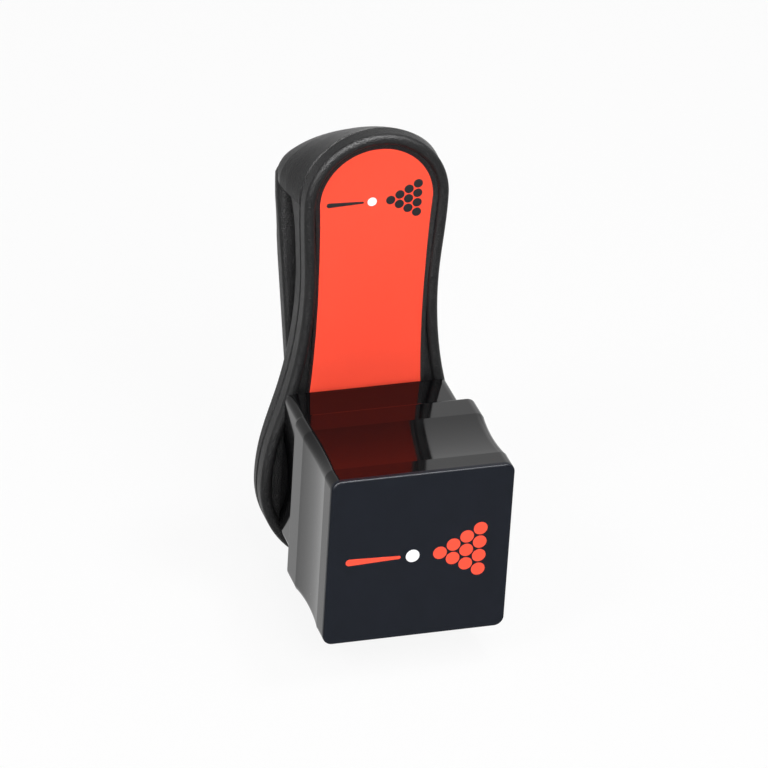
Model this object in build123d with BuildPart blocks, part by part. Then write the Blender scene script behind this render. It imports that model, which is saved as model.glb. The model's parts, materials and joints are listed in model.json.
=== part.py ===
from build123d import *
import os

os.makedirs("parts", exist_ok=True)

# Chalk holder for a billiard player: a belt clip that carries a capped, square chalk tray.
# X is to the right seen from the front, Y runs from the front to the wearer, Z is up.
# The origin is the belt seat: the top of the belt gap, midway between clip plate and leg.
# All lengths are millimetres.

# Belt clip
belt_gap = 5.6
wall_thickness = 3.5
foot_thickness = 1.5
cover_thickness = 2.0
rim_width = 1.9
rim_height = 1.0
rim_round = 0.8
dock_pad_radius = 11.0
arch_radius = 11.9
arch_z = 0.9
waist_half = 11.15
waist_z = -13.5
flare_half = 13.6
flare_z = -34.0
dock_radius = 16.75
dock_z = -49.8
seam_bevel = 0.35
back_round = 0.6
peg_radius = 1.0
peg_length = 2.0
peg_side = 5.0
peg_top_z = 5.0
peg_low_z = -22.0

# Bend and spring leg
bend_top_drop = 0.1
bend_cover = 0.6
bend_lip = 0.9
bend_crown_run = 3.7
bend_crown_half = 12.6
bend_crown_z = 10.8
bend_haunch_run = 9.6
bend_haunch_half = 13.0
bend_haunch_z = 7.75
bend_back_half = 10.0
bend_back_z = 4.2
bend_stations = 6
seat_drop = 6.0
hinge_clearance = 0.15
leg_root = 3.6
leg_half = 12.8
leg_tip = 3.0
leg_nose_gap = 0.6
leg_nose_z = -44.0
leg_lead_in = 2.6
leg_end_z = -50.0
leg_end_half = 9.8
leg_corner = 4.0
leg_end_round = 1.3
leg_edge = 0.7

# Red inlay
inlay_thickness = 0.8
inlay_recess = 0.6
inlay_side_gap = 0.2
inlay_foot_half = 9.6
inlay_fit = 0.1
inlay_pad_gap = 0.5

# Magnet in the clip and steel keeper in the tray
magnet_diameter = 20.0
magnet_thickness = 2.0
keeper_diameter = 18.0
keeper_thickness = 1.2
disc_fit = 0.1

# Chalk tray
case_z = -45.5
tray_inner = 22.8
tray_side_wall = 2.1
tray_top_wall = 1.4
tray_floor = 3.0
tray_standout = 10.05
tray_corner = 1.2
chalk_size = 22.2
rib_width = 1.2
rib_spacing = 11.0
rib_setback = 1.4

# Cap
cap_wall = 1.4
cap_depth = 21.1
cap_overlap = 5.0
cap_front_wall = 2.6
cap_corner = 1.6
cap_edge = 0.5
cap_step = 1.2
slide_clearance = 0.1
rim_gap = 0.1
scoop_start = 3.9
scoop_end = 16.1
scoop_depth = 0.32
panel_thickness = 0.8
panel_edge = 0.35

# Largest share of a wall that a round may take, from one side and from each of two sides
one_side_share = 0.9
two_side_share = 0.45

# Planes and places that follow from the sizes above
plate_back = belt_gap / 2
leg_front = belt_gap / 2
body_front = plate_back + wall_thickness
cover_front = body_front + cover_thickness
dock_front = cover_front + rim_height
foot_z = dock_z - dock_radius
foot_back = body_front - foot_thickness
wall_taper = (foot_back - plate_back) / (-seat_drop - foot_z)
hinge_y = leg_front + leg_root / 2
hinge_z = 0.0
bend_top = arch_z + arch_radius - bend_top_drop
bend_back = leg_front + leg_root + bend_cover
nose_wall_back = plate_back + wall_taper * (-seat_drop - leg_nose_z)
leg_nose_y = leg_nose_gap - nose_wall_back
tray_length = tray_standout + cap_overlap
cap_back = dock_front + tray_standout
cap_front = cap_back + cap_depth
tray_width = tray_inner + 2 * tray_side_wall
tray_height = tray_inner + 2 * tray_top_wall
rib_height = (tray_inner - chalk_size) / 2
mouth_width = tray_width + 2 * slide_clearance
mouth_height = tray_height + 2 * slide_clearance
mouth_depth = cap_overlap + rim_gap
cap_size = max(mouth_width, mouth_height) + 2 * cap_wall
inlay_foot_z = case_z + dock_pad_radius + inlay_pad_gap
peg_places = [(0, peg_top_z), (-peg_side, peg_low_z), (peg_side, peg_low_z)]

# Line of the bend from the seam to its back, as run, half width and top
bend_line = Spline(
    (0, arch_radius, bend_top),
    (bend_crown_run, bend_crown_half, bend_crown_z),
    (bend_haunch_run, bend_haunch_half, bend_haunch_z),
    (body_front + bend_back, bend_back_half, bend_back_z),
)


def clip_outline(inset):
    """Face of the clip: arch, waist and round foot, drawn in by inset all round."""
    arch = arch_radius - inset
    waist = waist_half - inset
    flare = flare_half - inset
    dock = dock_radius - inset
    down, up = (0, -1), (0, 1)
    with BuildSketch() as face:
        with BuildLine():
            ThreePointArc((-arch, arch_z), (0, arch_z + arch), (arch, arch_z))
            Spline(
                (arch, arch_z), (waist, waist_z), (flare, flare_z), (dock, dock_z), tangents=[down, down]
            )
            ThreePointArc((dock, dock_z), (0, dock_z - dock), (-dock, dock_z))
            Spline(
                (-dock, dock_z), (-flare, flare_z), (-waist, waist_z), (-arch, arch_z), tangents=[up, up]
            )
        make_face()
    return face.sketch


def vault_outline(half, top):
    """Section across the bend: a flat seat, short upright sides and an arch up to that top."""
    rise = top - arch_z
    with BuildSketch() as face:
        with BuildLine():
            Polyline((-half, arch_z), (-half, 0), (half, 0), (half, arch_z))
            EllipticalCenterArc((0, arch_z), half, rise, start_angle=0, arc_size=90)
            EllipticalCenterArc((0, arch_z), half, rise, start_angle=90, arc_size=90)
        make_face()
    return face.sketch


def inlay_outline(outset):
    """Face of the red inlay: arch, slight waist and a straight foot behind the tray's top edge."""
    arch = arch_radius - rim_width - inlay_side_gap + outset
    waist = waist_half - rim_width - inlay_side_gap + outset
    foot = inlay_foot_half + outset
    foot_z = inlay_foot_z - outset
    with BuildSketch() as face:
        with BuildLine():
            ThreePointArc((-arch, arch_z), (0, arch_z + arch), (arch, arch_z))
            Spline((arch, arch_z), (waist, waist_z), (foot, foot_z))
            Line((foot, foot_z), (-foot, foot_z))
            Spline((-foot, foot_z), (-waist, waist_z), (-arch, arch_z))
        make_face()
    return face.sketch


# Clip body: the wall behind the cover and the vaulted bend that carries the leg
with BuildPart() as clip_body:
    with BuildSketch(Plane.XZ.offset(-leg_front)):
        add(clip_outline(0))
        with Locations((0, 0)):
            Rectangle(2 * dock_radius, 2 * arch_radius, align=(Align.CENTER, Align.MIN), mode=Mode.SUBTRACT)
    extrude(amount=leg_front + body_front)
    with BuildSketch(Plane.YZ):
        with BuildLine():
            EllipticalCenterArc(
                (leg_front, -seat_drop), belt_gap, seat_drop, start_angle=90, arc_size=90
            )
            Polyline(
                (-plate_back, -seat_drop),
                (-foot_back, foot_z),
                (bend_back, foot_z),
                (bend_back, 0),
                (leg_front, 0),
            )
        make_face()
    extrude(amount=dock_radius, both=True, mode=Mode.SUBTRACT)
    back_edges = faces().sort_by_distance((0, -plate_back, flare_z))[0].edges()
    fillet(back_edges.sort_by(Axis.Z)[:-1], back_round)
    for i in range(bend_stations + 1):
        station = bend_line @ (i / bend_stations)
        with BuildSketch(Plane.XZ.offset(body_front - station.X)):
            add(vault_outline(station.Y, station.Z))
    loft(ruled=True)
    chamfer(faces().sort_by(Axis.Y)[0].outer_wire().edges(), seam_bevel)
    with BuildSketch(Plane.YZ):
        with Locations((hinge_y, hinge_z)):
            Circle(leg_root / 2 + hinge_clearance)
        with Locations((bend_back, hinge_z + bend_lip)):
            Rectangle(bend_back - leg_front, leg_root, align=(Align.MAX, Align.MAX))
    extrude(amount=dock_radius, both=True, mode=Mode.SUBTRACT)
    with BuildSketch(Plane.XZ.offset(body_front)):
        with Locations(*peg_places):
            Circle(peg_radius + disc_fit)
    extrude(amount=-(peg_length + disc_fit), mode=Mode.SUBTRACT)
clip_body.part.label = "clip_body"
export_step(clip_body.part, "parts/clip_body.step")

# Spring leg: round root in the bend, long tongue and a turned-out end
with BuildPart() as clip_leg:
    with BuildSketch(Plane.YZ):
        with BuildLine():
            Polyline(
                (leg_front, hinge_z),
                (leg_nose_y, leg_nose_z),
                (leg_nose_y + leg_lead_in, leg_end_z),
                (leg_nose_y + leg_lead_in + leg_tip, leg_end_z),
                (leg_nose_y + leg_tip, leg_nose_z),
                (hinge_y + leg_root / 2, hinge_z),
                close=True,
            )
        make_face()
        tip_corners = vertices().group_by(Axis.Y)[0]
        fillet(tip_corners, min(leg_end_round, two_side_share * leg_tip))
        with Locations((hinge_y, hinge_z)):
            Circle(leg_root / 2)
    extrude(amount=leg_half, both=True)
    with BuildSketch(Plane.XZ):
        with BuildLine():
            Polyline(
                (-leg_half, hinge_z + leg_root),
                (leg_half, hinge_z + leg_root),
                (leg_half, hinge_z - leg_root),
                (leg_end_half, leg_end_z),
                (-leg_end_half, leg_end_z),
                (-leg_half, hinge_z - leg_root),
                close=True,
            )
        make_face()
        fillet(vertices().group_by(Axis.Y)[0], leg_corner)
    extrude(amount=body_front + bend_back, both=True, mode=Mode.INTERSECT)
    leg_back = faces().sort_by_distance((0, bend_back, leg_nose_z / 2))[0]
    fillet(leg_back.edges().sort_by(SortBy.LENGTH)[-2:], min(leg_edge, two_side_share * leg_tip))
clip_leg.part.label = "clip_leg"
export_step(clip_leg.part, "parts/clip_leg.step")

# Front cover: thin plate with a rounded rim, a shallow recess for the inlay and three pegs
with BuildPart() as front_cover:
    with BuildSketch(Plane.XZ.offset(body_front)):
        add(clip_outline(0))
    extrude(amount=cover_thickness + rim_height)
    chamfer(faces().sort_by(Axis.Y)[-1].outer_wire().edges(), seam_bevel)
    with BuildSketch(Plane.XZ.offset(cover_front)):
        add(clip_outline(rim_width))
    extrude(amount=rim_height, mode=Mode.SUBTRACT)
    crown_round = min(rim_round, two_side_share * rim_width, one_side_share * rim_height)
    fillet(faces().sort_by(Axis.Y)[0].edges(), crown_round)
    with BuildSketch(Plane.XZ.offset(cover_front)):
        with Locations((0, case_z)):
            Circle(dock_pad_radius)
    extrude(amount=rim_height)
    with BuildSketch(Plane.XZ.offset(cover_front)):
        add(inlay_outline(inlay_fit))
    extrude(amount=-inlay_recess, mode=Mode.SUBTRACT)
    with BuildSketch(Plane.XZ.offset(body_front)):
        with Locations((0, case_z)):
            Circle(magnet_diameter / 2 + disc_fit)
    extrude(amount=magnet_thickness + disc_fit, mode=Mode.SUBTRACT)
    with BuildSketch(Plane.XZ.offset(body_front)):
        with Locations(*peg_places):
            Circle(peg_radius)
    extrude(amount=-peg_length)
front_cover.part.label = "front_cover"
export_step(front_cover.part, "parts/front_cover.step")

# Red inlay in the cover's recess
with BuildPart() as red_inlay:
    with BuildSketch(Plane.XZ.offset(cover_front - inlay_recess)):
        add(inlay_outline(0))
    extrude(amount=inlay_thickness)
red_inlay.part.label = "red_inlay"
export_step(red_inlay.part, "parts/red_inlay.step")

# Magnet disc in the back of the cover, behind the dock pad
with BuildPart() as dock_magnet:
    with BuildSketch(Plane.XZ.offset(body_front)):
        with Locations((0, case_z)):
            Circle(magnet_diameter / 2)
    extrude(amount=magnet_thickness)
dock_magnet.part.label = "dock_magnet"
export_step(dock_magnet.part, "parts/dock_magnet.step")

# Chalk tray: square socket with ribs that grip a chalk cube, and a pocket for the keeper
with BuildPart() as chalk_tray:
    with BuildSketch(Plane.XZ.offset(dock_front)):
        with Locations((0, case_z)):
            RectangleRounded(tray_width, tray_height, tray_corner)
    extrude(amount=tray_length)
    with BuildSketch(Plane.XZ.offset(dock_front + tray_floor)):
        with Locations((0, case_z)):
            Rectangle(tray_inner, tray_inner)
    extrude(amount=tray_length - tray_floor, mode=Mode.SUBTRACT)
    with BuildSketch(Plane.XZ.offset(dock_front + tray_floor)):
        for side in (-1, 1):
            across = side * (tray_inner - rib_height) / 2
            with Locations((across, case_z - rib_spacing / 2), (across, case_z + rib_spacing / 2)):
                Rectangle(rib_height, rib_width)
            with Locations((-rib_spacing / 2, case_z + across), (rib_spacing / 2, case_z + across)):
                Rectangle(rib_width, rib_height)
    extrude(amount=tray_length - tray_floor - rib_setback)
    with BuildSketch(Plane.XZ.offset(dock_front)):
        with Locations((0, case_z)):
            Circle(keeper_diameter / 2 + disc_fit)
    extrude(amount=keeper_thickness, mode=Mode.SUBTRACT)
chalk_tray.part.label = "chalk_tray"
export_step(chalk_tray.part, "parts/chalk_tray.step")

# Steel keeper disc in the back of the tray
with BuildPart() as keeper_disc:
    with BuildSketch(Plane.XZ.offset(dock_front)):
        with Locations((0, case_z)):
            Circle(keeper_diameter / 2)
    extrude(amount=keeper_thickness)
keeper_disc.part.label = "keeper_disc"
export_step(keeper_disc.part, "parts/keeper_disc.step")


def scooped_side():
    """Side of the cap along its depth, with a shallow finger scoop on both edges."""
    half = cap_size / 2
    scooped = half - scoop_depth
    scoop_middle = (scoop_start + scoop_end) / 2
    with BuildSketch() as face:
        with BuildLine():
            Line((half, panel_thickness), (half, scoop_start))
            ThreePointArc((half, scoop_start), (scooped, scoop_middle), (half, scoop_end))
            Line((half, scoop_end), (half, cap_depth))
            Line((half, cap_depth), (-half, cap_depth))
            Line((-half, cap_depth), (-half, scoop_end))
            ThreePointArc((-half, scoop_end), (-scooped, scoop_middle), (-half, scoop_start))
            Line((-half, scoop_start), (-half, panel_thickness))
            Line((-half, panel_thickness), (half, panel_thickness))
        make_face()
    return face.sketch


# Cap: square hollow that slides over the tray, with scooped sides and a flat front for the panel
cap_floor = Plane(origin=(0, -cap_front, case_z), x_dir=(1, 0, 0), z_dir=(0, 0, 1))
cap_side = Plane(origin=(0, -cap_front, case_z), x_dir=(0, 0, -1), z_dir=(1, 0, 0))
with BuildPart() as cap:
    with BuildSketch(cap_floor):
        add(scooped_side())
    extrude(amount=cap_size / 2, both=True)
    with BuildSketch(cap_side):
        add(scooped_side())
    extrude(amount=cap_size / 2, both=True, mode=Mode.INTERSECT)
    corner_reach = cap_size / 2 - 2 * scoop_depth
    corner_edges = edges().filter_by(lambda e: abs(e.center().X) > corner_reach).filter_by(
        lambda e: abs(e.center().Z - case_z) > corner_reach
    )
    fillet(corner_edges, cap_corner)
    fillet(faces().sort_by(Axis.Y)[-1].edges(), cap_edge)
    with BuildSketch(Plane.XZ.offset(cap_back)):
        with Locations((0, case_z)):
            Rectangle(mouth_width, mouth_height)
    extrude(amount=mouth_depth, mode=Mode.SUBTRACT)
    with BuildSketch(Plane.XZ.offset(cap_back + mouth_depth)):
        with Locations((0, case_z)):
            Rectangle(mouth_width - 2 * cap_step, mouth_height - 2 * cap_step)
    extrude(amount=cap_depth - mouth_depth - cap_front_wall, mode=Mode.SUBTRACT)
cap.part.label = "cap"
export_step(cap.part, "parts/cap.step")

# Front panel, a plate over the whole front of the cap
with BuildPart() as front_panel:
    with BuildSketch(Plane.XZ.offset(cap_front)):
        with Locations((0, case_z)):
            RectangleRounded(cap_size, cap_size, cap_corner)
    extrude(amount=-panel_thickness)
    fillet(faces().sort_by(Axis.Y)[0].edges(), min(panel_edge, one_side_share * panel_thickness))
front_panel.part.label = "front_panel"
export_step(front_panel.part, "parts/front_panel.step")
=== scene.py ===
# %% [markdown]
# A chalk holder for a billiard player. A black moulded belt clip has an arched front with a red
# inlay, and a square glossy box in front of its round foot holds a cube of chalk under a pull-off
# cap. The solid parts are already made at their real size, so this lesson gives them their
# finishes, remakes the springy leg as one smooth moulding, softens the rim, adds a small print,
# and lights it all.

# %% Load the parts
import json
import math

import bmesh
import bpy
from mathutils import Matrix, Vector


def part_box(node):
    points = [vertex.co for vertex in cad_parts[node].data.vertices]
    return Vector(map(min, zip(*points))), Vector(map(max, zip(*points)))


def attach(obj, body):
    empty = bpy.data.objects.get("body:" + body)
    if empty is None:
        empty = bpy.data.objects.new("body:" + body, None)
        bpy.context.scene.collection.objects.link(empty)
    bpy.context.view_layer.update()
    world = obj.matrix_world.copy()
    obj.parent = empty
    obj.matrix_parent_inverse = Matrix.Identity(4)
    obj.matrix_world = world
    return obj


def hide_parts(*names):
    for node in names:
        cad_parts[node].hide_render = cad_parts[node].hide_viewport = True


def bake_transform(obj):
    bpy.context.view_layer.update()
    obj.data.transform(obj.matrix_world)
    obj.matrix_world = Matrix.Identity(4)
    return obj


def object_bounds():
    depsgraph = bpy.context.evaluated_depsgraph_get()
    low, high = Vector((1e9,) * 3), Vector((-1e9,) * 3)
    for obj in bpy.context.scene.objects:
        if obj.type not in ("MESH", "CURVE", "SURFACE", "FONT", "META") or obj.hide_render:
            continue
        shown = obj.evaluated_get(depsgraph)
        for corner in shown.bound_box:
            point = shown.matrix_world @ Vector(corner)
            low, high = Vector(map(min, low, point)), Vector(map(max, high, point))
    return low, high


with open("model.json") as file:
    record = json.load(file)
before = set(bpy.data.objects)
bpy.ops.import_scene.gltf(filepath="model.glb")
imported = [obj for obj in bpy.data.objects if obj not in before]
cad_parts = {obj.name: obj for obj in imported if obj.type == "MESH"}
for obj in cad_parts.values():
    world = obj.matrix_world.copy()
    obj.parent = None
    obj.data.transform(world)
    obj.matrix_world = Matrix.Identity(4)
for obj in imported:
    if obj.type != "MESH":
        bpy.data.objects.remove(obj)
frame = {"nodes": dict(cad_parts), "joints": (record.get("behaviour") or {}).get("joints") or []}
cad_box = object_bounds()
MM = 0.001
print("nodes:", sorted(frame["nodes"]))


# %% [markdown]
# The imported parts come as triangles, and a smooth finish shows every facet on a curved wall. Faces
# that meet at a small angle are therefore shaded as one surface, and real edges stay crisp.
# Subdividing would change the shapes, so a Weighted Normal modifier is used instead: it lets the
# large faces set the shading.

# %% Shade curved walls smoothly
CREASE = math.radians(28)


def shade_smooth(piece):
    """Smooth shading with creases kept where two faces meet at a real edge."""
    mesh = piece.data
    mesh.polygons.foreach_set("use_smooth", [True] * len(mesh.polygons))
    mesh.set_sharp_from_angle(angle=CREASE)


def weigh_normals(piece):
    """Let the large faces set the shading, so that thin ones leave no streaks beside a round."""
    weights = piece.modifiers.new("weighted_normals", "WEIGHTED_NORMAL")
    weights.keep_sharp = True


for node in frame["nodes"].values():
    shade_smooth(node)
    weigh_normals(node)
print("smooth shading on", len(frame["nodes"]), "nodes")


# %% [markdown]
# A moulded surface is never one flat colour. Each plastic here starts from the Principled shader
# and gets a fine relief: a Noise texture in object coordinates, which are metres, drives a Bump
# node. The scale says how many grains there are in a metre: 6000 gives grains of about a sixth of
# a millimetre.

# %% Helpers for the finishes
def finish(name, colour, roughness, specular=0.5):
    """A new material, and its Principled shader."""
    material = bpy.data.materials.new(name)
    material.use_nodes = True
    shader = material.node_tree.nodes["Principled BSDF"]
    shader.inputs["Base Color"].default_value = (*colour, 1)
    shader.inputs["Roughness"].default_value = roughness
    shader.inputs["Specular IOR Level"].default_value = specular
    return material, shader


def noise(material, scale, detail=3.0):
    """A Noise texture in object coordinates, with that many grains in a metre."""
    nodes, links = material.node_tree.nodes, material.node_tree.links
    where = nodes.new("ShaderNodeTexCoord")
    texture = nodes.new("ShaderNodeTexNoise")
    texture.inputs["Scale"].default_value = scale
    texture.inputs["Detail"].default_value = detail
    links.new(where.outputs["Object"], texture.inputs["Vector"])
    return texture


def add_relief(material, shader, scale, height, strength, detail=3.0):
    """Fine relief of that height in metres."""
    nodes, links = material.node_tree.nodes, material.node_tree.links
    bump = nodes.new("ShaderNodeBump")
    bump.inputs["Distance"].default_value = height
    bump.inputs["Strength"].default_value = strength
    links.new(noise(material, scale, detail).outputs["Fac"], bump.inputs["Height"])
    links.new(bump.outputs["Normal"], shader.inputs["Normal"])


def vary_roughness(material, shader, scale, smoothest, roughest):
    """Patches that are a little duller or brighter, as on handled plastic."""
    nodes, links = material.node_tree.nodes, material.node_tree.links
    spread = nodes.new("ShaderNodeMapRange")
    spread.inputs["To Min"].default_value = smoothest
    spread.inputs["To Max"].default_value = roughest
    links.new(noise(material, scale).outputs["Fac"], spread.inputs["Value"])
    links.new(spread.outputs["Result"], shader.inputs["Roughness"])


def vary_colour(material, shader, scale, dark, light):
    """Colour that drifts between two tones over the surface."""
    nodes, links = material.node_tree.nodes, material.node_tree.links
    tones = nodes.new("ShaderNodeValToRGB")
    tones.color_ramp.elements[0].color = (*dark, 1)
    tones.color_ramp.elements[1].color = (*light, 1)
    links.new(noise(material, scale).outputs["Fac"], tones.inputs["Fac"])
    links.new(tones.outputs["Color"], shader.inputs["Base Color"])


# %% [markdown]
# The clip is black plastic with a fine spark-eroded texture, which sparkles along the rim. The box
# is polished black, so it mirrors the red inlay in its top. The panel in the cap's front is a
# duller, faintly blue black, and the inlay is a bright matt red. An image of each surface could be
# wrapped round the parts, but noise needs no unwrapping and stays sharp from near by.

# %% Recipes for the plastics
def clip_finish():
    """Satin black with a fine texture; light specks in its colour are painted sparkle."""
    colour = (0.008, 0.008, 0.009)
    material, shader = finish("clip_satin_black", colour, roughness=0.38, specular=0.12)
    # Light specks at random in the colour: painted glints that stand in for the texture's sparkle,
    # over a faint random tone.
    vary_colour(material, shader, scale=4200, dark=(0.0, 0.0, 0.0), light=(0.016, 0.016, 0.017))
    vary_roughness(material, shader, scale=700, smoothest=0.31, roughest=0.45)
    add_relief(material, shader, scale=4800, height=0.16 * MM, strength=0.8, detail=1.0)
    return material


def polished_finish():
    """Polished black with a faint waviness, as mouldings have."""
    colour = (0.002, 0.002, 0.0024)
    material, shader = finish("box_polished_black", colour, roughness=0.07, specular=0.18)
    vary_roughness(material, shader, scale=160, smoothest=0.04, roughest=0.11)
    add_relief(material, shader, scale=90, height=0.04 * MM, strength=0.12, detail=1.0)
    return material


def panel_finish():
    """Dull black with a trace of blue."""
    colour, dark, light = (0.007, 0.009, 0.014), (0.006, 0.008, 0.012), (0.008, 0.010, 0.016)
    material, shader = finish("panel_dull_black", colour, roughness=0.36, specular=0.08)
    vary_colour(material, shader, scale=260, dark=dark, light=light)
    vary_roughness(material, shader, scale=1200, smoothest=0.30, roughest=0.42)
    add_relief(material, shader, scale=7000, height=0.02 * MM, strength=0.4)
    return material


def inlay_finish():
    """Matt red that drifts a little in tone."""
    material, shader = finish("inlay_matt_red", (0.96, 0.075, 0.037), roughness=0.7, specular=0.04)
    vary_colour(material, shader, scale=60, dark=(0.94, 0.069, 0.033), light=(0.98, 0.081, 0.042))
    add_relief(material, shader, scale=6000, height=0.03 * MM, strength=0.4)
    return material


# %% Recipes for the metals and the inks
METAL_SPREAD = 0.3


def metal_finish(name, colour, roughness):
    """Plated metal, for the magnet and the disc that it holds."""
    material, shader = finish(name, colour, roughness)
    shader.inputs["Metallic"].default_value = 1.0
    smoothest, roughest = roughness * (1 - METAL_SPREAD), roughness * (1 + METAL_SPREAD)
    vary_roughness(material, shader, scale=500, smoothest=smoothest, roughest=roughest)
    return material


def ink_finish(name, colour):
    """Matt printing ink."""
    material, shader = finish(name, colour, roughness=0.5, specular=0.1)
    add_relief(material, shader, scale=9000, height=0.01 * MM, strength=0.3)
    return material


# %% Give each part its finish
clip_black = clip_finish()
box_black = polished_finish()
panel_black = panel_finish()
inlay_red = inlay_finish()
magnet_nickel = metal_finish("magnet_nickel", (0.75, 0.74, 0.71), roughness=0.2)
keeper_zinc = metal_finish("keeper_zinc", (0.6, 0.61, 0.63), roughness=0.35)

FINISH_OF = {
    "clip_body": clip_black,
    "clip_leg": clip_black,
    "front_cover": clip_black,
    "red_inlay": inlay_red,
    "chalk_tray": box_black,
    "cap": box_black,
    "front_panel": panel_black,
    "dock_magnet": magnet_nickel,
    "keeper_disc": keeper_zinc,
}
for name, material in FINISH_OF.items():
    node = frame["nodes"][name]
    node.data.materials.clear()
    node.data.materials.append(material)
print("finishes on", len(FINISH_OF), "nodes")


# %% [markdown]
# On the real clip the leg and the bend are one moulding, and the leg bends where it leaves the
# bend. A rigid leg would show a slit there. So the leg is lofted here as a tongue of rounded
# sections whose root reaches up into the bend.

# %% Sizes of the spring leg
leg_low, leg_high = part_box("clip_leg")
hinge = next(joint for joint in frame["joints"] if joint["name"] == "leg_flex")
HINGE = Vector(hinge["pos_m"])
SOCKET_RADIUS = 1.93 * MM
LIP = 0.9 * MM
ROOT_TOP = 1.88 * MM
ROOT_HALF = leg_high.x
ROOT_FRONT = HINGE.y - 1.8 * MM
ROOT_THICKNESS = 4.1 * MM
ROOT_ROUND = 1.7 * MM
ROOT_DRAW_IN = 0.16
SHOULDER = 0.65 * MM
TAPER_START = -3.6 * MM
THINNED_AT = 2 * TAPER_START
DRAW_IN_GONE_AT = 3 * TAPER_START
EDGES_CRISP_AT = 4 * TAPER_START
LEG_THICKNESS = 3.6 * MM
EDGE_ROUND = 0.8 * MM
NOSE_Z = -44.0 * MM
NOSE_FRONT = -3.455 * MM
TIP_THICKNESS = 3.0 * MM
END_TURN = 2.6 * MM
END_HALF = 9.8 * MM
END_CORNER = 4.0 * MM
END_ROUND = 1.3 * MM
print("leg from", round(leg_high.z / MM, 1), "down to", round(leg_low.z / MM, 1), "mm")


# %% Curves of the spring leg
SOFTENING_REACH = 2.0 * MM
SOFTENING_STEPS = 9


def ramp(z, z0, v0, z1, v1):
    """Value on the line from (z0, v0) to (z1, v1)."""
    return v0 + (v1 - v0) * (z - z0) / (z1 - z0)


def leg_front(z):
    """Y of the leg's front face: upright in the bend, leaning to the nose, turned out below it."""
    if z > 0:
        return ROOT_FRONT
    if z > NOSE_Z:
        return ramp(z, 0, ROOT_FRONT, NOSE_Z, NOSE_FRONT)
    return ramp(z, NOSE_Z, NOSE_FRONT, leg_low.z, NOSE_FRONT + END_TURN)


def softened(curve, z):
    """Mean of a curve around z, which rounds its corners."""
    places = [2 * i / (SOFTENING_STEPS - 1) - 1 for i in range(SOFTENING_STEPS)]
    samples = [z + SOFTENING_REACH * place for place in places]
    return sum(curve(min(max(s, leg_low.z), ROOT_TOP)) for s in samples) / SOFTENING_STEPS


def leg_thickness(z):
    """Thickness of the leg from front to back; above the bend's lip it fills the round socket."""
    if z > LIP:
        return 2 * math.sqrt(SOCKET_RADIUS**2 - z**2)
    if z > 0:
        return ROOT_THICKNESS
    if z > THINNED_AT:
        return ramp(z, 0, ROOT_THICKNESS, THINNED_AT, LEG_THICKNESS)
    return ramp(z, THINNED_AT, LEG_THICKNESS, leg_low.z, TIP_THICKNESS)


def leg_half(z):
    """Half of the leg's width, with round shoulders in the bend and round corners at its end."""
    if z > 0:
        return ROOT_HALF - SHOULDER * (z / ROOT_TOP) ** 2
    if z > TAPER_START:
        return ROOT_HALF
    half = ramp(z, TAPER_START, ROOT_HALF, leg_low.z, END_HALF)
    into_corner = leg_low.z + END_CORNER - z
    if into_corner > 0:
        half -= END_CORNER - math.sqrt(max(END_CORNER**2 - into_corner**2, 0))
    return half


print("leg at its nose:", round(2 * leg_half(NOSE_Z) / MM, 1), "mm wide")


# %% Sections of the spring leg
SECTIONS = 96
CORNER_STEPS = 6
ROUNDEST_SHARE = 0.45
THINNEST_SHARE = 0.12


def rounded_section(half, depth, radius):
    """Points of a rounded rectangle around its centre, as (x, y)."""
    points = []
    for quarter in range(4):
        sign_x = 1 if quarter in (0, 3) else -1
        sign_y = 1 if quarter in (0, 1) else -1
        for step in range(CORNER_STEPS + 1):
            angle = math.pi / 2 * (quarter + step / CORNER_STEPS)
            points.append((
                sign_x * (half - radius) + radius * math.cos(angle),
                sign_y * (depth / 2 - radius) + radius * math.sin(angle),
            ))
    return points


def draw_in_back(section, depth, share):
    """The section with its back drawn in by that share of its width, as the bend's back is."""
    drawn = []
    for x, y in section:
        behind = max(2 * y / depth, 0)
        drawn.append((x * (1 - share * behind**2), y))
    return drawn


def leg_rings():
    """Rings of points from the root down to the end, closer together at the end."""
    rings = []
    for i in range(SECTIONS + 1):
        z = ROOT_TOP + (leg_low.z - ROOT_TOP) * math.sin(i / SECTIONS * math.pi / 2)
        thickness = leg_thickness(z)
        above_end = z - leg_low.z
        squeeze = 1.0
        if above_end < END_ROUND:
            rounding = math.sqrt(max(1 - (1 - above_end / END_ROUND) ** 2, 0))
            squeeze = max(rounding, THINNEST_SHARE)
        depth = thickness * squeeze
        middle = HINGE.y if z > LIP else softened(leg_front, z) + thickness / 2
        edge = max(EDGE_ROUND, ramp(z, 0, ROOT_ROUND, EDGES_CRISP_AT, EDGE_ROUND))
        radius = min(edge, ROOT_ROUND, ROUNDEST_SHARE * depth)
        draw_in = ROOT_DRAW_IN * min(max(ramp(z, 0, 1, DRAW_IN_GONE_AT, 0), 0), 1)
        section = draw_in_back(rounded_section(leg_half(z), depth, radius), depth, draw_in)
        rings.append([(x, middle + y, z) for x, y in section])
    return rings


# %% Loft the spring leg
def loft(name, rings):
    """Closed mesh through rings of points, with a cap at each end."""
    mesh = bpy.data.meshes.new(name)
    build = bmesh.new()
    loops = [[build.verts.new(point) for point in ring] for ring in rings]
    for upper, lower in zip(loops, loops[1:]):
        for i in range(len(upper)):
            j = (i + 1) % len(upper)
            build.faces.new((upper[i], upper[j], lower[j], lower[i]))
    build.faces.new(loops[0])
    build.faces.new(reversed(loops[-1]))
    bmesh.ops.recalc_face_normals(build, faces=build.faces)
    build.to_mesh(mesh)
    build.free()
    piece = bpy.data.objects.new(name, mesh)
    bpy.context.scene.collection.objects.link(piece)
    return piece


spring_leg = loft("spring_leg", leg_rings())
shade_smooth(spring_leg)
spring_leg.data.materials.append(clip_black)
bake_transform(spring_leg)
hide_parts("clip_leg")
print("spring leg:", len(spring_leg.data.polygons), "faces")


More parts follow.
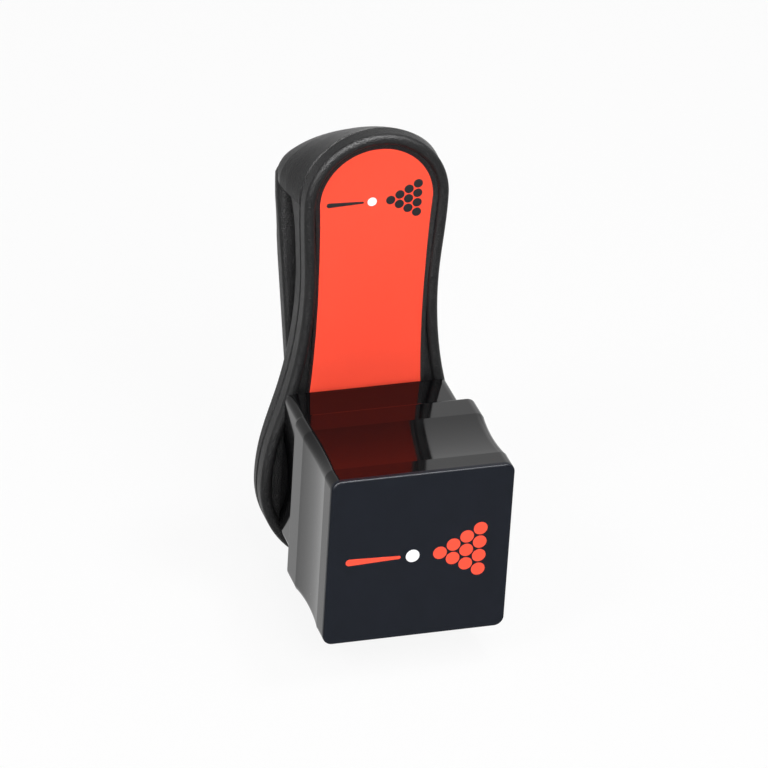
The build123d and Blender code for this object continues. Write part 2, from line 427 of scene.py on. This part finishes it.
# %% [markdown]
# The raised rim does not drop straight to the red: a soft fillet runs down from it, broad round the
# arch and narrow along the sides. The solid rim has a plain wall there, so the fillet is a thin
# strip. It is lofted along the inlay's own outline, which is read from the inlay's front face, and
# ends at its foot.

# %% Read the inlay's outline
inlay_low, inlay_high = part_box("red_inlay")
PLACE_DIGITS = 5
FRONT_DEPTH = 0.01 * MM


def inlay_outline():
    """Points of the inlay's front edge as (x, z), from the left foot over the arch to the right."""
    inlay = frame["nodes"]["red_inlay"]
    corners = [inlay.matrix_world @ vertex.co for vertex in inlay.data.vertices]
    front = {
        (round(corner.x, PLACE_DIGITS), round(corner.z, PLACE_DIGITS))
        for corner in corners
        if corner.y < inlay_low.y + FRONT_DEPTH
    }
    middle_z = (inlay_low.z + inlay_high.z) / 2
    return sorted(front, key=lambda point: math.atan2(point[0], point[1] - middle_z))


print("inlay outline:", len(inlay_outline()), "points")


# %% Loft the rim's inner fillet
FILLET_AT_SIDE = 0.26 * MM
FILLET_AT_ARCH = 0.68 * MM
FILLET_HEIGHT = 0.30 * MM
FILLET_BACK = -0.32 * MM
FILLET_SINK = -0.02 * MM
FILLET_PROFILE = ((0.0, 1.0), (0.3, 0.8), (0.6, 0.5), (0.85, 0.2), (1.0, 0.0))


def fillet_rings(outline):
    """One ring for each point of the outline: a slope from the rim's wall down to the inlay."""
    rings = []
    half_height = (inlay_high.z - inlay_low.z) / 2
    for i, (x, z) in enumerate(outline):
        before, after = outline[max(i - 1, 0)], outline[min(i + 1, len(outline) - 1)]
        along = Vector((after[0] - before[0], after[1] - before[1])).normalized()
        inward = Vector((along.y, -along.x))
        up_the_arch = min(max((z - inlay_low.z) / half_height - 1, 0), 1)
        width = FILLET_AT_SIDE + (FILLET_AT_ARCH - FILLET_AT_SIDE) * up_the_arch
        span = width - FILLET_BACK
        slope = [
            (FILLET_BACK + span * reach, FILLET_HEIGHT * lift)
            for reach, lift in FILLET_PROFILE
        ]
        profile = [(FILLET_BACK, FILLET_SINK), *slope, (width, FILLET_SINK)]
        rings.append([
            (x + inward.x * reach, inlay_low.y - lift, z + inward.y * reach)
            for reach, lift in profile
        ])
    return rings


rim_fillet = loft("rim_fillet", fillet_rings(inlay_outline()))
shade_smooth(rim_fillet)
rim_fillet.data.materials.append(clip_black)
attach(rim_fillet, "clip")
print("rim fillet:", len(rim_fillet.data.polygons), "faces")


# %% [markdown]
# The cap's panel and the inlay each carry a small print. Here it is an opening shot seen from
# above: a tapered cue, a white ball, and a rack of ten balls with its point to the cue. Ink has a
# little body, so each mark is a thin coin with a softened rim, and not a flat patch of colour.

# %% Draw the shapes of the print
DISC_SIDES = 40
TIP_SIDES = 12
RACK_ROWS = 4


def disc_outline(centre, radius):
    """Points round a ball, as (x, z)."""
    turns = [2 * math.pi * i / DISC_SIDES for i in range(DISC_SIDES)]
    return [(centre.x + radius * math.cos(t), centre.z + radius * math.sin(t)) for t in turns]


def cue_outline(tip, length, tip_half, butt_half):
    """Points round a cue that tapers to its tip and lies along X, with round ends."""
    right = [math.pi / 2 - math.pi * i / TIP_SIDES for i in range(TIP_SIDES + 1)]
    left = [math.pi + angle for angle in right]
    front = [(tip.x + tip_half * (math.cos(t) - 1), tip.z + tip_half * math.sin(t)) for t in right]
    butt_x = tip.x - length + butt_half
    back = [(butt_x + butt_half * math.cos(t), tip.z + butt_half * math.sin(t)) for t in left]
    return front + back


def rack(point, pitch):
    """Centres of a triangle of balls, one more in each row, to the right of its point."""
    step = pitch * math.sqrt(3) / 2
    return [
        point + Vector((row * step, 0, (place - row / 2) * pitch))
        for row in range(RACK_ROWS)
        for place in range(row + 1)
    ]


print("balls in the rack:", len(rack(Vector(), MM)))


# %% Turn outlines into ink
INK_HEIGHT = 0.04 * MM
INK_PROFILE = ((0.0, 0.0), (0.0, 0.5), (0.07, 0.9), (0.2, 1.0))


def add_mark(build, outline, wall_y):
    """One thin coin of ink with a softened rim, on a wall that faces the front."""
    middle_x = sum(x for x, z in outline) / len(outline)
    middle_z = sum(z for x, z in outline) / len(outline)
    reach = min(math.hypot(x - middle_x, z - middle_z) for x, z in outline)
    loops = []
    for inset, lift in INK_PROFILE:
        loop = []
        for x, z in outline:
            away = Vector((x - middle_x, z - middle_z))
            shrink = 1 - inset * reach / away.length
            place_x, place_z = middle_x + away.x * shrink, middle_z + away.y * shrink
            loop.append(build.verts.new((place_x, wall_y - lift * INK_HEIGHT, place_z)))
        loops.append(loop)
    for outer, inner in zip(loops, loops[1:]):
        for i in range(len(outline)):
            j = (i + 1) % len(outline)
            build.faces.new((outer[i], outer[j], inner[j], inner[i]))
    build.faces.new(loops[0])
    build.faces.new(loops[-1])


def print_marks(name, outlines, wall_y, material, body):
    """A piece of print made of several marks, which moves with that body."""
    mesh = bpy.data.meshes.new(name)
    build = bmesh.new()
    for outline in outlines:
        add_mark(build, outline, wall_y)
    bmesh.ops.recalc_face_normals(build, faces=build.faces)
    build.to_mesh(mesh)
    build.free()
    piece = bpy.data.objects.new(name, mesh)
    bpy.context.scene.collection.objects.link(piece)
    shade_smooth(piece)
    piece.data.materials.append(material)
    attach(piece, body)


# %% Lay out the opening shot
BALL_RADIUS = 0.45
WHITE_PLACE = -0.9
RACK_PLACE = 0.9
CUE_PLACE = -1.7
CUE_LENGTH = 3.6
CUE_TIP_HALF = 0.11
CUE_BUTT_HALF = 0.24


def print_opening_shot(name, centre, pitch, colour, white, body):
    """Cue, white ball and rack in a row across that centre, all in steps of the pitch."""
    white_place = centre + Vector((WHITE_PLACE * pitch, 0, 0))
    rack_point = centre + Vector((RACK_PLACE * pitch, 0, 0))
    cue_tip = centre + Vector((CUE_PLACE * pitch, 0, 0))
    ball = BALL_RADIUS * pitch
    cue = cue_outline(cue_tip, CUE_LENGTH * pitch, CUE_TIP_HALF * pitch, CUE_BUTT_HALF * pitch)
    outlines = [disc_outline(place, ball) for place in rack(rack_point, pitch)] + [cue]
    print_marks(name + "_rack_and_cue", outlines, centre.y, colour, body)
    print_marks(name + "_white_ball", [disc_outline(white_place, ball)], centre.y, white, body)
    print(name, "print:", len(outlines) + 1, "marks")


# %% Print the panel and the inlay
ink_red = ink_finish("ink_red", (0.93, 0.08, 0.04))
ink_white = ink_finish("ink_white", (0.9, 0.9, 0.9))
ink_black = ink_finish("ink_black", (0.012, 0.012, 0.014))

PANEL_PITCH = 2.5 * MM
PANEL_SHIFT = 1.2 * MM
panel_low, panel_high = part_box("front_panel")
panel_centre = Vector((PANEL_SHIFT, panel_low.y, (panel_low.z + panel_high.z) / 2))
print_opening_shot("panel", panel_centre, PANEL_PITCH, ink_red, ink_white, "cap")

INLAY_PITCH = 1.7 * MM
INLAY_SHIFT = 0.8 * MM
INLAY_PRINT_DROP = 10.0 * MM
inlay_centre = Vector((INLAY_SHIFT, inlay_low.y, inlay_high.z - INLAY_PRINT_DROP))
print_opening_shot("inlay", inlay_centre, INLAY_PITCH, ink_black, ink_white, "clip")


# %% [markdown]
# The holder is shown on a plain white floor. Glossy black shows what is around it more than its
# own colour, so the floor and the world look white to the camera and in mirrors. More light would
# bleach the holder too, so the Light Path node does this instead. The floor's own colour is pale
# grey, and it keeps the holder's shadow.

# %% White for the camera and in mirrors
def seen_directly(tree):
    """A 0 or 1 value: 1 where the camera looks, straight, in a mirror or through glass."""
    path = tree.nodes.new("ShaderNodeLightPath")
    seen = path.outputs["Is Camera Ray"]
    for kind in ("Is Glossy Ray", "Is Transmission Ray"):
        either = tree.nodes.new("ShaderNodeMath")
        either.operation = "MAXIMUM"
        tree.links.new(seen, either.inputs[0])
        tree.links.new(path.outputs[kind], either.inputs[1])
        seen = either.outputs[0]
    return seen


# %% Floor
FLOOR_SIZE = 3.0
FLOOR_GREY = (0.7, 0.7, 0.7)
FLOOR_GLOW = 0.9


def floor_finish():
    """Pale floor that keeps the shadow and reads as white to the camera and in mirrors."""
    material, shader = finish("floor_white", FLOOR_GREY, roughness=0.9, specular=0.1)
    nodes, links = material.node_tree.nodes, material.node_tree.links
    glow = nodes.new("ShaderNodeEmission")
    mix = nodes.new("ShaderNodeMixShader")
    share = nodes.new("ShaderNodeMath")
    share.operation = "MULTIPLY"
    share.inputs[1].default_value = FLOOR_GLOW
    links.new(seen_directly(material.node_tree), share.inputs[0])
    links.new(share.outputs[0], mix.inputs["Fac"])
    links.new(shader.outputs["BSDF"], mix.inputs[1])
    links.new(glow.outputs["Emission"], mix.inputs[2])
    links.new(mix.outputs["Shader"], nodes["Material Output"].inputs["Surface"])
    return material


floor_mesh = bpy.data.meshes.new("floor")
floor_build = bmesh.new()
bmesh.ops.create_grid(floor_build, x_segments=1, y_segments=1, size=FLOOR_SIZE / 2)
floor_build.to_mesh(floor_mesh)
floor_build.free()
floor = bpy.data.objects.new("floor", floor_mesh)
bpy.context.scene.collection.objects.link(floor)
floor.location.z = cad_box[0].z
floor.data.materials.append(floor_finish())
print("floor at", round(floor.location.z, 4))


# %% World
WORLD_LEVEL = 0.42
world = bpy.data.worlds.new("studio")
bpy.context.scene.world = world
world.use_nodes = True
backdrop = world.node_tree.nodes["Background"]
backdrop.inputs["Color"].default_value = (1, 1, 1, 1)
level = world.node_tree.nodes.new("ShaderNodeMapRange")
level.inputs["To Min"].default_value = WORLD_LEVEL
level.inputs["To Max"].default_value = 1.0
world.node_tree.links.new(seen_directly(world.node_tree), level.inputs["Value"])
world.node_tree.links.new(level.outputs["Result"], backdrop.inputs["Strength"])
print("world lights the holder at", WORLD_LEVEL)


# %% [markdown]
# Three soft lamps light the holder: a key at the upper left, a small one overhead, and a broad fill
# in front. Black plastic takes little colour from them, so its shape has to be drawn by
# reflections. The glint lamps are for that alone: they show in the plastic's sheen and add no light
# to matt surfaces.

# %% Lamps
holder_middle = (cad_box[0] + cad_box[1]) / 2


def add_lamp(name, direction, distance, size, brightness):
    """Soft square lamp that way from the holder; brightness is the light that reaches it."""
    light = bpy.data.lights.new(name, "AREA")
    light.size = size
    light.energy = brightness * math.pi * distance**2
    lamp = bpy.data.objects.new(name, light)
    bpy.context.scene.collection.objects.link(lamp)
    lamp.location = holder_middle + Vector(direction).normalized() * distance
    lamp.rotation_euler = (holder_middle - lamp.location).to_track_quat("-Z", "Y").to_euler()
    return lamp


def add_glint(name, direction, distance, size, brightness):
    """Lamp that shows in the sheen of a surface and adds nothing to its matt colour."""
    lamp = add_lamp(name, direction, distance, size, brightness)
    lamp.visible_diffuse = False


add_lamp("key", (-0.62, -0.35, 0.70), distance=0.7, size=0.16, brightness=0.8)
add_lamp("overhead", (0.28, -0.02, 0.96), distance=0.6, size=0.10, brightness=0.9)
add_lamp("front_fill", (0.10, -0.80, 0.60), distance=0.9, size=0.50, brightness=2.2)
add_glint("left_glint", (-0.69, -0.55, 0.47), distance=0.7, size=0.26, brightness=10.0)
add_glint("high_glint", (-0.25, -0.57, 0.77), distance=0.7, size=0.26, brightness=12.0)
add_glint("top_glint", (0.28, -0.50, 0.82), distance=0.7, size=0.26, brightness=12.0)
add_glint("front_glint", (-0.20, -0.95, 0.10), distance=0.7, size=0.15, brightness=3.0)
add_glint("back_card", (0.28, 0.80, 0.52), distance=0.8, size=0.60, brightness=0.4)
print("lamps:", sorted(light.name for light in bpy.data.lights))


# %% [markdown]
# The camera stands where the photograph was taken: high, a little to the left, far away with a long
# lens. Its three axes were found by matching the box's corners, and the camera's matrix holds them.

# %% Camera
CAMERA_PLACE = Vector((-0.26295, -0.79874, 0.45034))
CAMERA_RIGHT = Vector((0.9560, -0.2883, 0.0550))
CAMERA_AHEAD = Vector((0.2761, 0.8199, -0.5015)).normalized()
LENS = 281.25
SENSOR_WIDTH = 36.0
NEAREST_SEEN = 0.01
camera_data = bpy.data.cameras.new("camera")
camera_data.lens = LENS
camera_data.sensor_width = SENSOR_WIDTH
camera_data.clip_start = NEAREST_SEEN
camera = bpy.data.objects.new("camera", camera_data)
bpy.context.scene.collection.objects.link(camera)
across = (CAMERA_RIGHT - CAMERA_RIGHT.dot(CAMERA_AHEAD) * CAMERA_AHEAD).normalized()
upward = across.cross(CAMERA_AHEAD)
turn = Matrix((across, upward, -CAMERA_AHEAD)).transposed()
camera.matrix_world = Matrix.Translation(CAMERA_PLACE) @ turn.to_4x4()
bpy.context.scene.camera = camera
bpy.context.scene.view_settings.view_transform = "Standard"
print("camera at", [round(v, 3) for v in CAMERA_PLACE])
